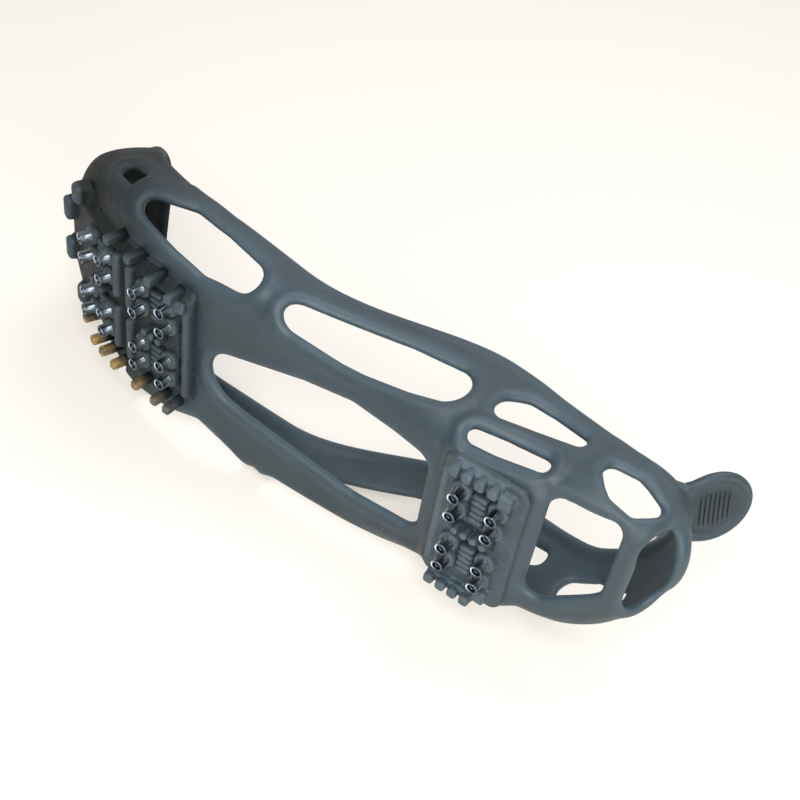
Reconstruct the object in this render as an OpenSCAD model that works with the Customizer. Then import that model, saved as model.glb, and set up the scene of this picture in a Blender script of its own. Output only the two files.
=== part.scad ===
// Pull-on ice cleat: a stretched rubber harness that carries studded treads under heel, ball and toe.
// Frame: it stands on its stud tips at z = 0, +X to the toe, +Y to the wearer's left, +Z up.

/* [Harness] */
// Length of the rubber sole from heel to toe
sole_len = 284; // [268:1:310]
// Width across the heel
heel_w = 70; // [66:1:78]
// Width across the ball of the foot
ball_w = 99; // [94:1:110]
// Length over which the sole widens from heel to ball
flare_len = 175; // [150:1:185]
// Length of the rounded heel end
heel_round = 39; // [36:1:44]
// Length of the rounded toe end
toe_round = 62; // [56:1:66]
// Thickness of the rubber skin
skin_t = 3.6; // [2.8:0.1:4.2]
// Outer radius where the sole turns up into the side
edge_r = 11; // [9:0.5:13]
// Height of the rim above the sole at the heel
rim_heel_h = 37; // [35:1:42]
// Extra height of the rim beside the ankle
rim_ankle_rise = 9; // [6:0.5:11]
// Height of the rim above the sole at the waist
rim_waist_h = 27; // [25:1:30]
// Height of the rim above the sole at the toe
rim_toe_h = 51; // [46:1:54]
// How far the rim leans in at the heel
lean_heel = 9; // [7:0.5:11]
// How far the rim leans in along the sides
lean_side = 5; // [3:0.5:7]
// How far the rim leans in over the toe
lean_toe = 12; // [8:0.5:15]
// Radius of the upward roll of the sole under the toes
toe_spring_r = 140; // [125:1:180]
// Distance from the heel end to the start of that roll
toe_spring_from = 195; // [188:1:200]
// Radius of the upward roll of the sole behind the heel tread
heel_lift_r = 150; // [130:1:200]
// Distance from the heel end to the start of the heel's roll
heel_lift_from = 49; // [45:1:52]
// Sideways bow of the sole at the waist
waist_bow = 4.5; // [0:0.5:6]
// Sideways swing of the sole at the heel end
heel_swing = 11.5; // [0:0.5:13]

/* [Windows] */
// Length of the arch opening
arch_len = 96.5; // [84:0.5:99]
// Width of the arch opening at its middle
arch_w = 44.5; // [38:0.5:47]
// Width of the opening behind the heel tread
heel_sole_w = 49.5; // [42:0.5:50]
// Length of the opening behind the heel tread
heel_sole_len = 26; // [21:0.5:26.5]
// Width of the opening round the back of the heel
heel_back_w = 37.5; // [32:0.5:39]
// Height of the opening round the back of the heel
heel_back_h = 17; // [12:0.5:17.5]
// Half height of the long opening at the waist
waist_open = 8.2; // [6:0.2:8.6]
// Half height of the long opening beside the ball
ball_open = 6.2; // [4:0.2:6.6]

/* [Treads] */
// Distance from the sole's skin down to the stud tips
tread_drop = 10; // [9:0.5:12]
// Distance from the heel end to the middle of the heel tread
heel_tread_from = 65; // [64:0.5:68]
// Length of the heel tread along the foot
heel_tread_len = 33; // [31:0.5:34]
// Width of the heel tread across the foot
heel_tread_w = 62; // [58:1:66]
// Distance along the roll from its start to the middle of the ball tread
ball_tread_at = 13.5; // [12.5:0.5:15]
// Distance along the roll between the ball and toe treads
tread_pitch = 37; // [36:0.5:40]
// Width of the ball and toe treads across the foot
fore_tread_w = 66; // [60:1:68]
// Gap between the ball and toe treads that lets the sole flex
flex_gap = 2.4; // [1.5:0.1:4]
// Thickness of a tread's base plate
base_t = 3.2; // [2.8:0.1:4]
// Diameter of a rubber nub
nub_d = 4.8; // [3.6:0.1:5.4]
// Distance from the stud tips up to the nub tips
nub_short = 1; // [0.5:0.1:2]

/* [Studs] */
// Distance between the two rows of studs on a tread
stud_row_gap = 14.6; // [13:0.1:16]
// Distance from the tread's middle line to the inner stud
stud_inner = 8.6; // [7.5:0.1:9.5]
// Distance between the two studs of a pair
stud_pair = 9.3; // [9:0.1:10]
// Diameter of the steel shank
stud_d = 4.8; // [4:0.1:5.4]
// Length of steel that stands out of the rubber
stud_out = 4.6; // [3.5:0.1:5]
// Diameter of the flange that holds a stud in its tread
flange_d = 8; // [7:0.1:8.6]
// Thickness of the flange
flange_t = 1.1; // [0.8:0.1:1.4]
// Diameter of the cup in the stud's end
cup_d = 3.2; // [2.4:0.1:3.4]
// Depth of that cup
cup_deep = 1.6; // [0.8:0.1:2]

/* [Pull tab] */
// Radius of the round pull tab
tab_r = 15; // [14:0.5:16.5]
// Distance from its hinge line to the middle of its round
tab_mid = 8.5; // [7:0.5:10]
// Thickness of the tab
tab_t = 3.2; // [2.6:0.1:4]
// Width of the tab at its hinge line
tab_root_w = 27; // [24:0.5:28]
// Height of its hinge line above the rim
tab_lift = 3; // [1:0.5:4]
// Angle at which the relaxed tab points back and up
tab_tilt = 50; // [46:1:55]
// Angle by which the tab is turned sideways with the heel's swing
tab_turn = 13; // [0:1:15]

/* [Hidden] */
$fn = 48;

rubber_grey = "#4b5158";
tread_grey = "#4a4743";
steel = "#c4c8cc";

// Clearances and joins
bond_gap = 0.15;
stud_clear = 0.05;
hinge_clear = 0.35;
overlap = 0.4;

// Ends of the sole, with the tab's reach taken in so that the part is centred on its box
hinge_in = lean_heel + skin_t / 2;
tab_along = cos(tab_tilt) * cos(tab_turn);
tab_edge = tab_r * norm([tab_along, sin(tab_turn)]) + tab_t / 2 * sin(tab_tilt);
tab_reach = tab_mid * tab_along + tab_edge - hinge_in;
heel_x = (tab_reach - sole_len) / 2;
spring_x = heel_x + toe_spring_from;
lift_x = heel_x + heel_lift_from;
heel_tread_x = heel_x + heel_tread_from;

// Angles along the roll under the toes, measured at the stud tips
tip_r = toe_spring_r + tread_drop;
function roll_angle(arc) = arc / tip_r * 180 / PI;
ball_angle = roll_angle(ball_tread_at);
toe_angle = roll_angle(ball_tread_at + tread_pitch);
row_angle = roll_angle(stud_row_gap / 2);
half_tread_angle = roll_angle((tread_pitch - flex_gap) / 2);
front_angle = toe_angle + half_tread_angle;
roll_end = toe_spring_r * sin(front_angle);
roll_rise = toe_spring_r * (1 - cos(front_angle));

// The form that the harness is stretched over
waist_x = (heel_tread_x + spring_x + ball_tread_at) / 2;
waist_half = waist_x - heel_tread_x;

function ease(t) = let (u = max(0, min(1, t))) u * u * (3 - 2 * u);
function half_w(s) =
    s < heel_round ? heel_w / 2 * sqrt(max(0, 1 - pow(1 - s / heel_round, 2)))
    : s > sole_len - toe_round ? ball_w / 2 * sqrt(max(0, 1 - pow(1 - (sole_len - s) / toe_round, 2)))
    : (heel_w + (ball_w - heel_w) * ease((s - heel_round) / flare_len)) / 2;
function rise(x) =
    x > spring_x + roll_end ? roll_rise + (x - spring_x - roll_end) * tan(front_angle)
    : x > spring_x ? toe_spring_r - sqrt(pow(toe_spring_r, 2) - pow(x - spring_x, 2))
    : x < lift_x ? heel_lift_r - sqrt(pow(heel_lift_r, 2) - pow(lift_x - x, 2))
    : 0;
function sway(x) =
    x < heel_tread_x ? heel_swing * pow((heel_tread_x - x) / heel_tread_from, swing_power)
    : -waist_bow * pow(max(0, 1 - pow((x - waist_x) / waist_half, 2)), 2);
function sole_z(x) = tread_drop + rise(x);
function rim_h(s) =
    rim_waist_h
    + (rim_back_h(s) - rim_waist_h) * (1 - ease((s - rim_falls_from) / rim_fall))
    + (rim_toe_h - rim_waist_h) * pow(toe_share(s), rim_climb_power);
function rim_back_h(s) = rim_heel_h + rim_ankle_rise * pow(ease((s - ankle_from) / ankle_len), ankle_power);
function lean(s) =
    lean_side
    + (lean_heel - lean_side) * (1 - ease(s / (heel_round + heel_blend)))
    + (lean_toe - lean_side) * pow(toe_share(s), lean_climb_power);
function toe_share(s) = max(0, s - rim_climbs_from) / (sole_len - rim_climbs_from);
swing_power = 1.4;
ankle_from = 30;
ankle_len = 60;
ankle_power = 0.7;
rim_falls_from = 88;
rim_fall = 76;
rim_climbs_from = toe_spring_from - 4;
rim_climb_power = 3.2;
lean_climb_power = 2;
heel_blend = 17;
lean_power = 1.5;

// Left half of the sole's outline as [distance from heel, half width], then all of it round to the start
end_step = 11.25;
side_steps = 26;
side_len = sole_len - heel_round - toe_round;
left_outline = concat(
    [for (a = [0:end_step:90 - end_step]) [heel_round * (1 - cos(a)), heel_w / 2 * sin(a)]],
    [for (k = [0:side_steps]) let (s = heel_round + side_len * k / side_steps) [s, half_w(s)]],
    [for (a = [90 - end_step:-end_step:0]) [sole_len - toe_round * (1 - cos(a)), ball_w / 2 * sin(a)]]
);
last_left = len(left_outline) - 1;
outline = concat(left_outline, [for (k = [last_left - 1:-1:1]) [left_outline[k][0], -left_outline[k][1]]]);
turn = len(outline);

// A point of the form, moved in from the outline towards the middle line and up from the sole
function form_point(p, inset, h) =
    let (
        foot = max(heel_round, min(sole_len - toe_round, p[0])),
        out = [p[0] - foot, p[1]],
        q = [foot, 0] + out * (1 - inset / norm(out)),
        x = heel_x + q[0]
    )
    [x, q[1] + sway(x), sole_z(x) + h];

// Section of the form as [inset, height] pairs from the sole up to the rim, depth mm inside the skin
corner_step = 18;
wall_steps = 6;
function section(s, depth) = concat(
    [
        for (a = [0:corner_step:90])
        let (r = edge_r - depth)
        [depth + r * (1 - sin(a)), depth + r * (1 - cos(a))]
    ],
    [
        for (k = [1:wall_steps])
        let (v = k / wall_steps)
        [depth + lean(s) * pow(v, lean_power), edge_r + (rim_h(s) - edge_r) * v]
    ]
);
rings = 90 / corner_step + 1 + wall_steps;

function skin_ring(depth, k) = [
    for (p = outline)
    let (c = section(p[0], depth)[k])
    form_point(p, c[0], c[1])
];

// Faces of a band between ring a and ring b, and of the sole's cap between its left and right halves
function band(a, b) = [
    for (k = [0:turn - 1])
    let (n = (k + 1) % turn)
    each [[a * turn + k, b * turn + k, b * turn + n], [a * turn + k, b * turn + n, a * turn + n]]
];
function cap(ring, up) = [
    for (k = [0:last_left - 1])
    let (
        l0 = ring * turn + k,
        l1 = l0 + 1,
        r0 = ring * turn + (turn - k) % turn,
        r1 = ring * turn + turn - k - 1,
        near = up ? [l0, l1, r1] : [l0, r1, l1],
        far = up ? [l0, r1, r0] : [l0, r0, r1]
    )
    each concat(k == last_left - 1 ? [] : [near], k == 0 ? [] : [far])
];

module skin_shell() {
    points = concat(
        [for (k = [0:rings - 1]) each skin_ring(0, k)],
        [for (k = [rings - 1:-1:0]) each skin_ring(skin_t, k)]
    );
    faces = concat(
        [for (k = [0:2 * rings - 2]) each band(k, k + 1)],
        cap(0, false),
        cap(2 * rings - 1, true)
    );
    polyhedron(points, faces);
}

// Openings: each side opening is a row of [distance from heel, offset up the side, radius] discs,
// cut square to the turned-up edge of the sole on the left and on the right
look_down = 40;
cut_reach = 22;
toe_open_at = sole_len - 46;
edge_at = edge_r * (1 - sin(45));
function edge_point(s, side) =
    let (x = heel_x + s)
    [x, sway(x) + side * (half_w(s) - edge_at), sole_z(x) + edge_at];

module side_opening(discs) {
    for (side = [1, -1]) {
        hull() {
            for (d = discs) {
                translate(edge_point(d[0], side))
                    rotate([-side * (90 + look_down), 0, 0])
                        translate([0, side * -d[1], 0])
                            cylinder(r = d[2], h = 2 * cut_reach, center = true, $fn = 32);
            }
        }
    }
}

module sole_opening(discs) {
    hull() {
        for (d = discs) {
            x = heel_x + d[0];
            translate([x, sway(x) + d[1], tread_drop - 1])
                cylinder(r = d[2], h = skin_t + rise(x) + 4, $fn = 32);
        }
    }
}

module heel_back_opening() {
    low = 1.6;
    left = 1.8;
    r = heel_back_h / 2;
    x = heel_x + edge_at;
    y = sway(x) + left;
    hull() {
        for (side = [1, -1]) {
            translate([x, y + side * (heel_back_w / 2 - r), sole_z(x) + edge_at])
                rotate([0, 45, 0])
                    translate([low, 0, 0])
                        cylinder(r = r, h = cut_reach, center = true, $fn = 32);
        }
    }
}

module openings() {
    heel_front = heel_tread_from - heel_tread_len / 2 - 4.2;
    heel_corner = 5;
    heel_back = heel_front - heel_sole_len + heel_corner + 1;
    heel_half = heel_sole_w / 2 - heel_corner;
    heel_left = 5;
    arch_back = heel_tread_from + heel_tread_len / 2 + 7;
    arch_corner = 6.5;
    arch_nose = 12.5;
    arch_mid = 12;
    arch_half = arch_w / 2 - arch_mid;
    arch_left = 2.8;
    side_opening([[toe_open_at + 4, 7, 3], [toe_open_at - 2.5, 7.6, 2.9], [toe_open_at - 3.4, 5.2, 1.9]]);
    side_opening([
        [toe_spring_from + 24, 1.2, ball_open - 1.4],
        [toe_spring_from + 11, 4.4, ball_open],
        [toe_spring_from - 18.5, 1.9, ball_open + 1.3],
        [toe_spring_from - 5, -1.7, ball_open + 0.4],
    ]);
    side_opening([
        [heel_tread_from + 85, 2.3, waist_open - 1.8],
        [heel_tread_from + 57, 7, waist_open],
        [heel_tread_from + 31, 13, waist_open - 0.8],
    ]);
    side_opening([
        [heel_tread_from + 9.2, 16, 4.2],
        [heel_tread_from + 5, 17.6, 4.2],
        [heel_tread_from - 16, 18.2, 2.1],
    ]);
    side_opening([[heel_tread_from + 11, 1.7, 3], [heel_tread_from - 12, 5.4, 3]]);
    side_opening([
        [heel_round - 6, 12, 2.9],
        [heel_round - 13.5, 11.4, 3.3],
        [heel_round - 22.7, 8.6, 3.3],
        [heel_round - 19, 5.6, 3.2],
        [heel_round - 12, 7, 3],
    ]);
    sole_opening([
        [heel_front - heel_corner, heel_left + heel_half, heel_corner],
        [heel_front - heel_corner, heel_left - heel_half, heel_corner],
        [heel_back, heel_left + heel_half - 3, heel_corner + 0.5],
        [heel_back, heel_left - heel_half + 10.5, heel_corner + 0.5],
    ]);
    sole_opening([
        [arch_back + arch_corner, arch_half + arch_left, arch_corner],
        [arch_back + arch_corner, -arch_half - arch_left, arch_corner],
        [arch_back + arch_len / 3, arch_left + arch_half, arch_mid],
        [arch_back + arch_len / 3, arch_left - arch_half, arch_mid],
        [arch_back + arch_len - arch_nose, -arch_left, arch_nose],
    ]);
    heel_back_opening();
}

// The tab's hinge line lies along the top of the rim at the back of the heel
hinge_x = heel_x + hinge_in;
hinge_y = sway(heel_x + lean_heel);
hinge_z = sole_z(heel_x + lean_heel) + rim_heel_h + tab_lift + tab_t / 2 + hinge_clear;

module at_hinge(tilt) {
    translate([hinge_x, hinge_y, hinge_z])
        rotate([0, tilt, -tab_turn])
            children();
}

// Shoulders that carry the straight hinge line out from the curved back of the rim
module tab_shoulders() {
    shoulder_h = 9 + tab_lift;
    shoulder_d = 11;
    difference() {
        at_hinge(0)
            translate([0, -tab_root_w / 2, -shoulder_h])
                cube([shoulder_d, tab_root_w, shoulder_h]);
        at_hinge(0)
            rotate([90, 0, 0])
                cylinder(d = tab_t + 2 * hinge_clear, h = tab_root_w + 2, center = true);
        cavity();
    }
}

// The space inside the skin, which the shoulders must not reach into
module cavity() {
    lid = rings;
    points = concat(
        [for (k = [0:rings - 1]) each skin_ring(skin_t / 2, k)],
        [for (p = skin_ring(skin_t / 2, rings - 1)) p + [0, 0, 2 * tab_t + tab_lift]]
    );
    faces = concat([for (k = [0:rings - 1]) each band(k, k + 1)], cap(0, false), cap(lid, true));
    polyhedron(points, faces);
}

module harness() {
    color(rubber_grey) {
        difference() {
            skin_shell();
            openings();
        }
        tab_shoulders();
    }
}

// Treads: everything on a fore tread stands square to the roll under the toes
module on_roll(angle) {
    translate([spring_x, 0, sole_z(spring_x) + toe_spring_r])
        rotate([0, -angle, 0])
            translate([0, 0, -toe_spring_r])
                children();
}

module rolled_plate(from, to, w) {
    translate([spring_x, 0, sole_z(spring_x) + toe_spring_r])
        rotate([90, 0, 0])
            rotate([0, 0, from - 90])
                rotate_extrude(angle = to - from, $fn = 200)
                    translate([toe_spring_r + bond_gap, -w / 2])
                        square([base_t - bond_gap, w]);
}

module standing(size, top) {
    translate([-size[0] / 2, -size[1] / 2, -top])
        cube([size[0], size[1], top - base_t + overlap]);
}

module nub(d) {
    tip = tread_drop - nub_short;
    translate([0, 0, -tip])
        cylinder(d1 = d * 0.92, d2 = d, h = tip - base_t + overlap);
}

boss_wall = 0.4;
boss_d = flange_d + 2 * boss_wall;
boss_top = tread_drop - stud_out;
tip_bevel = 0.3;
cup_taper = 0.2;

module stud_boss() {
    translate([0, 0, -boss_top])
        cylinder(d = boss_d, h = boss_top - base_t + overlap);
}

module stud_hole() {
    pocket = bond_gap + stud_clear + flange_t + stud_clear;
    translate([0, 0, -tread_drop])
        cylinder(d = stud_d + 2 * stud_clear, h = tread_drop + 1);
    translate([0, 0, -pocket])
        cylinder(d = flange_d + 2 * stud_clear, h = pocket + 1);
}

module stud() {
    color(steel)
        rotate_extrude()
            polygon([
                [0, -bond_gap - stud_clear],
                [flange_d / 2, -bond_gap - stud_clear],
                [flange_d / 2, -bond_gap - stud_clear - flange_t],
                [stud_d / 2, -bond_gap - stud_clear - flange_t],
                [stud_d / 2, -tread_drop + tip_bevel],
                [stud_d / 2 - tip_bevel, -tread_drop],
                [cup_d / 2, -tread_drop],
                [cup_d / 2 - cup_taper, -tread_drop + cup_deep],
                [0, -tread_drop + cup_deep],
            ]);
}

// Places of the eight studs on a tread as [row, across]
stud_ys = [stud_inner + stud_pair, stud_inner, -stud_inner, -stud_inner - stud_pair];
stud_spots = [for (row = [1, -1], y = stud_ys) [row, y]];

module at_fore_stud(angle, spot) {
    on_roll(angle + spot[0] * row_angle)
        translate([0, spot[1], 0])
            children();
}

module at_heel_stud(spot) {
    translate([heel_tread_x + spot[0] * stud_row_gap / 2, spot[1], tread_drop])
        children();
}

// Small raised rungs between the two rows of studs, and the short nubs on the middle line
rung_l = 6;
rung_w = 1.7;
rung_gap = 2.8;
low_top = 6;
mid_nub_d = 3.2;
mid_nub_pitch = 3.8;
edge_nub_in = 2.4;
edge_wall_w = 3.8;
heel_nub_pitch = 5;
fore_nub_pitch = 11.3;
fore_nub_d = 0.78 * nub_d;
corner_block = [5, 6];
corner_in = 7.5;
toe_lug = [5, 10];
shoulder_lug = [6, 8];

module rungs() {
    for (side = [1, -1], k = [-2:2]) {
        translate([0, side * (stud_inner + stud_pair / 2) + k * rung_gap, 0])
            standing([rung_l, rung_w], low_top);
    }
}

module heel_tread() {
    color(tread_grey)
        difference() {
            union() {
                translate([heel_tread_x, 0, tread_drop - base_t]) {
                    linear_extrude(base_t - bond_gap)
                        rounded_plate(heel_tread_len, heel_tread_w, 5);
                }
                for (spot = stud_spots) {
                    at_heel_stud(spot) stud_boss();
                }
                translate([heel_tread_x, 0, tread_drop]) {
                    rungs();
                    for (k = [-1:2], side = [1, -1]) {
                        translate([k * heel_nub_pitch, side * (heel_tread_w / 2 - edge_nub_in), 0])
                            nub(nub_d);
                    }
                    for (k = [-1.5:1:1.5]) {
                        translate([k * mid_nub_pitch, 0, 0]) nub(mid_nub_d);
                    }
                    for (side = [1, -1]) {
                        wall_l = 3 * heel_nub_pitch + 0.9 * nub_d;
                        translate([heel_nub_pitch / 2, side * (heel_tread_w / 2 - edge_nub_in), 0])
                            standing([wall_l, edge_wall_w], low_top + 0.5);
                        translate([corner_in - heel_tread_len / 2, side * (heel_tread_w / 2 - corner_block[1]), 0])
                            standing(corner_block, low_top + 1);
                    }
                }
            }
            for (spot = stud_spots) {
                at_heel_stud(spot) stud_hole();
            }
        }
}

module rounded_plate(l, w, r) {
    square([l - 2 * r, w], center = true);
    square([l, w - 2 * r], center = true);
    for (x = [1, -1], y = [1, -1]) {
        translate([x * (l / 2 - r), y * (w / 2 - r)]) circle(r);
    }
}

// Edge nubs of the fore treads as [nub pitches along from the middle, share of the half width across]
ball_nubs = [[1, 1], [0, 0.9], [-0.9, 0.84], [0.75, -1], [-0.25, -1], [-0.85, -1]];
toe_nubs = [[-1.1, 1], [0.85, -0.8], [0.2, -1], [-0.45, -1], [-1.25, -1]];

// What a ball or toe tread carries besides its own edges; facing is 1 where the flex gap is in front
bar_w = 3.6;
bar_gap = 5;
bar_short = 8;
lip_w = 3;
lip_short = 22;
lip_right = 2.3;
rear_block = [8, 4];

module fore_features(angle, facing, nubs, bar_in) {
    bar_l = fore_tread_w / 2 - bar_gap - bar_short;
    for (spot = stud_spots) {
        at_fore_stud(angle, spot) stud_boss();
    }
    on_roll(angle) {
        rungs();
        for (k = [-1:1]) {
            translate([k * mid_nub_pitch, 0, 0]) nub(mid_nub_d);
        }
    }
    for (spot = nubs) {
        on_roll(angle + roll_angle(spot[0] * fore_nub_pitch))
            translate([0, spot[1] * (fore_tread_w / 2 - edge_nub_in), 0])
                nub(fore_nub_d);
    }
    for (side = [1, -1]) {
        on_roll(angle + facing * (half_tread_angle - roll_angle(bar_in + bar_w / 2)))
            translate([0, side * (bar_gap / 2 + bar_l / 2), 0])
                standing([bar_w, bar_l], low_top);
    }
}

module ball_tread() {
    lip_at = ball_angle - half_tread_angle + roll_angle(lip_w / 2);
    color(tread_grey)
        difference() {
            union() {
                rolled_plate(ball_angle - half_tread_angle, ball_angle + half_tread_angle, fore_tread_w);
                fore_features(ball_angle, 1, ball_nubs, 0);
                on_roll(lip_at)
                    translate([0, -lip_right, 0])
                        standing([lip_w, fore_tread_w - lip_short], low_top - 1);
                on_roll(ball_angle - half_tread_angle + roll_angle(rear_block[0] / 2 + 2))
                    translate([0, stud_inner + stud_pair + rear_block[1], 0])
                        standing(rear_block, low_top);
            }
            for (spot = stud_spots) {
                at_fore_stud(ball_angle, spot) stud_hole();
            }
        }
}

// Tongue in front of the toe tread: a flat plate with two lugs on its shoulders and two on its tip
tongue_l = 18;
tongue_left = 3;
tongue_w = 58;
tip_w = 30;
shoulder_l = 7;

module tongue() {
    outline = [
        [-overlap, -tongue_w / 2],
        [shoulder_l, -tongue_w / 2],
        [tongue_l, -tip_w / 2],
        [tongue_l, tip_w / 2],
        [shoulder_l, tongue_w / 2],
        [-overlap, tongue_w / 2],
    ];
    translate([0, tongue_left, 0]) {
        translate([0, 0, -base_t])
            linear_extrude(base_t - bond_gap)
                polygon(outline);
        for (side = [1, -1]) {
            translate([shoulder_l - shoulder_lug[0] / 2, side * (tongue_w - shoulder_lug[1]) / 2, 0])
                standing(shoulder_lug, low_top + 1);
            translate([tongue_l - toe_lug[0] / 2, side * (tip_w - toe_lug[1]) / 2, 0])
                standing(toe_lug, low_top + 1);
        }
    }
}

module toe_tread() {
    color(tread_grey)
        difference() {
            union() {
                rolled_plate(toe_angle - half_tread_angle, front_angle, fore_tread_w);
                fore_features(toe_angle, -1, toe_nubs, 2.5);
                on_roll(front_angle) tongue();
            }
            for (spot = stud_spots) {
                at_fore_stud(toe_angle, spot) stud_hole();
            }
        }
}

// Pull tab: a round paddle with grip ribs across both faces, rounded along its hinge line
rib_pitch = 1.75;
rib_w = 0.85;
rib_h = 0.6;
rib_l = 0.95 * tab_r;

module heel_pull_tab() {
    sunk = 0.1;
    color(rubber_grey)
        at_hinge(tab_tilt)
            rotate([0, 0, 180]) {
                rotate([90, 0, 0])
                    cylinder(d = tab_t, h = tab_root_w, center = true);
                linear_extrude(tab_t, center = true) {
                    intersection() {
                        translate([tab_mid, 0]) circle(tab_r, $fn = 96);
                        translate([0, -tab_r]) square([tab_mid + tab_r, 2 * tab_r]);
                    }
                    translate([0, -tab_root_w / 2]) square([tab_mid, tab_root_w]);
                }
                for (k = [-2.5:1:3.5], face = [1, -1]) {
                    translate([tab_mid + k * rib_pitch, 0, face * (tab_t + rib_h - sunk) / 2])
                        cube([rib_w, rib_l, rib_h + sunk], center = true);
                }
            }
}

harness();
heel_tread();
ball_tread();
toe_tread();
for (k = [1:8]) {
    at_heel_stud(stud_spots[k - 1]) stud();
    at_fore_stud(ball_angle, stud_spots[k - 1]) stud();
    at_fore_stud(toe_angle, stud_spots[k - 1]) stud();
}
heel_pull_tab();
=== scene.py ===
import math

import bpy
import numpy as np
from mathutils import Matrix, Vector


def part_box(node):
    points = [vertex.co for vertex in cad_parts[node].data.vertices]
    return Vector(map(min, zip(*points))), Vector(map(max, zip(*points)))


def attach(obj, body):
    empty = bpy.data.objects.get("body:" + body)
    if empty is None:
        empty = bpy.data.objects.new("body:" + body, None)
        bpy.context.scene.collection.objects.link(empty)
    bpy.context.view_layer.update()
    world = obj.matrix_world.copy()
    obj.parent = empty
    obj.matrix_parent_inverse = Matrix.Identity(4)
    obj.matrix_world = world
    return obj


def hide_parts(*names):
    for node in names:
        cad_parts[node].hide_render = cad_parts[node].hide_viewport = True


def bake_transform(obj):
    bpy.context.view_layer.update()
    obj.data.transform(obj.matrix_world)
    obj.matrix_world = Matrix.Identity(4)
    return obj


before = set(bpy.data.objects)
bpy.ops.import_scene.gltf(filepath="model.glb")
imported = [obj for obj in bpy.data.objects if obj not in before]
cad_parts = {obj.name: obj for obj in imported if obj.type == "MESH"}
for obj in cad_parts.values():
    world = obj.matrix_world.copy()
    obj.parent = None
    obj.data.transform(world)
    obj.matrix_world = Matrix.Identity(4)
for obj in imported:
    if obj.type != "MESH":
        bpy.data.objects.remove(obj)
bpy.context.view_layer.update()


# Harness
# One skin of soft thermoplastic rubber, shown in its stretched form. It is injection moulded in a
# single shot, with a soft rolled edge round each window and a thicker band along the rim. The treads
# are moulded into its underside.
mm = 0.001
sole_len, heel_w, ball_w, flare_len = 284.0, 70.0, 99.0, 175.0
heel_round, toe_round = 39.0, 62.0
skin_t, edge_r = 3.6, 11.0
tread_drop = 10.0
heel_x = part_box("harness")[0][0] / mm
heel_tread_from = 65.0
heel_tread_x = heel_x + heel_tread_from
spring_x, toe_spring_r, roll_len = heel_x + 195.0, 140.0, 67.8
roll_front = roll_len / (toe_spring_r + tread_drop)
lift_x, heel_lift_r, lift_most = heel_x + 49.0, 150.0, 145.0
waist_x, waist_half = heel_x + 136.75, 71.75
heel_swing, swing_power, waist_bow = 11.5, 1.4, 4.5
hinge_at = np.array([heel_x + 10.8, 9.334, 57.382])
tab_turn = math.radians(13.0)
tab_tilt = math.radians(50.0)


def ease(t):
    """Smooth step from 0 to 1."""
    t = np.clip(t, 0.0, 1.0)
    return t * t * (3.0 - 2.0 * t)


def side_width(s):
    """Half width of the sole between its round ends, s mm from the heel."""
    return (heel_w + (ball_w - heel_w) * ease((s - heel_round) / flare_len)) / 2.0


def half_width(s):
    """Half width of the sole s mm from the heel."""
    heel = heel_w / 2 * np.sqrt(np.maximum(0.0, 1 - (1 - s / heel_round) ** 2))
    toe = ball_w / 2 * np.sqrt(np.maximum(0.0, 1 - (1 - (sole_len - s) / toe_round) ** 2))
    return np.where(s < heel_round, heel, np.where(s > sole_len - toe_round, toe, side_width(s)))


def sway(x):
    """How far the middle line swings aside at the heel and bows at the waist."""
    swing = heel_swing * np.maximum(0.0, (heel_tread_x - x) / heel_tread_from) ** swing_power
    bow = waist_bow * np.maximum(0.0, 1 - ((x - waist_x) / waist_half) ** 2) ** 2
    return np.where(x < heel_tread_x, swing, -bow)


def sole_z(x):
    """Height of the sole's underside, which rolls up under the toes and lifts at the heel."""
    roll_end = toe_spring_r * math.sin(roll_front)
    toe = np.clip(x - spring_x, 0.0, roll_end)
    heel = np.clip(lift_x - x, 0.0, lift_most)
    toe_rise = toe_spring_r - np.sqrt(toe_spring_r ** 2 - toe ** 2)
    toe_rise = toe_rise + math.tan(roll_front) * np.maximum(0.0, x - spring_x - roll_end)
    heel_rise = heel_lift_r - np.sqrt(heel_lift_r ** 2 - heel ** 2)
    return tread_drop + toe_rise + heel_rise


# The rim's lowest height over the sole, and what heel, ankle and toe add to it
low_rim, heel_rim, ankle_rim, toe_rim = 27.0, 10.0, 9.0, 24.0
ankle_from, ankle_len, ankle_power = 30.0, 60.0, 0.7
dip_from, dip_len = 88.0, 76.0
climb_from, climb_power = 191.0, 3.2
# How far the rim leans in: along the sides, and what heel and toe add
side_lean, heel_lean, toe_lean = 5.0, 4.0, 7.0
heel_lean_len, lean_power, lean_most = 56.0, 1.5, 1.3


def toe_climb(s):
    """0 behind the toe cap, rising to 1 at the tip of the toe."""
    return np.clip((s - climb_from) / (sole_len - climb_from), 0.0, 1.0)


def rim_height(s):
    """Height of the rim over the sole."""
    back = heel_rim + ankle_rim * ease((s - ankle_from) / ankle_len) ** ankle_power
    return low_rim + back * (1 - ease((s - dip_from) / dip_len)) + toe_rim * toe_climb(s) ** climb_power


def rim_lean(s):
    """How far the rim leans in over the sole."""
    return side_lean + heel_lean * (1 - ease(s / heel_lean_len)) + toe_lean * toe_climb(s) ** 2


def soft_min(a, b, k):
    """The smaller of two forms, blended over k mm where they meet."""
    h = np.maximum(k - np.abs(a - b), 0.0) / k
    return np.minimum(a, b) - h * h * k / 4.0


def soft_max(a, b, k):
    """The larger of two forms, blended over k mm where they meet."""
    return -soft_min(-a, -b, k)


def window_gap(u, v, discs):
    """Distance from a window whose outline is stretched round discs of [u, v, radius]."""
    gap = np.full(u.shape, -1e9)
    for a in np.arange(0.0, 2 * math.pi, math.pi / 32):
        c, s = math.cos(a), math.sin(a)
        reach = max(d[0] * c + d[1] * s + d[2] for d in discs)
        gap = np.maximum(gap, u * c + v * s - reach)
    return gap


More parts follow.
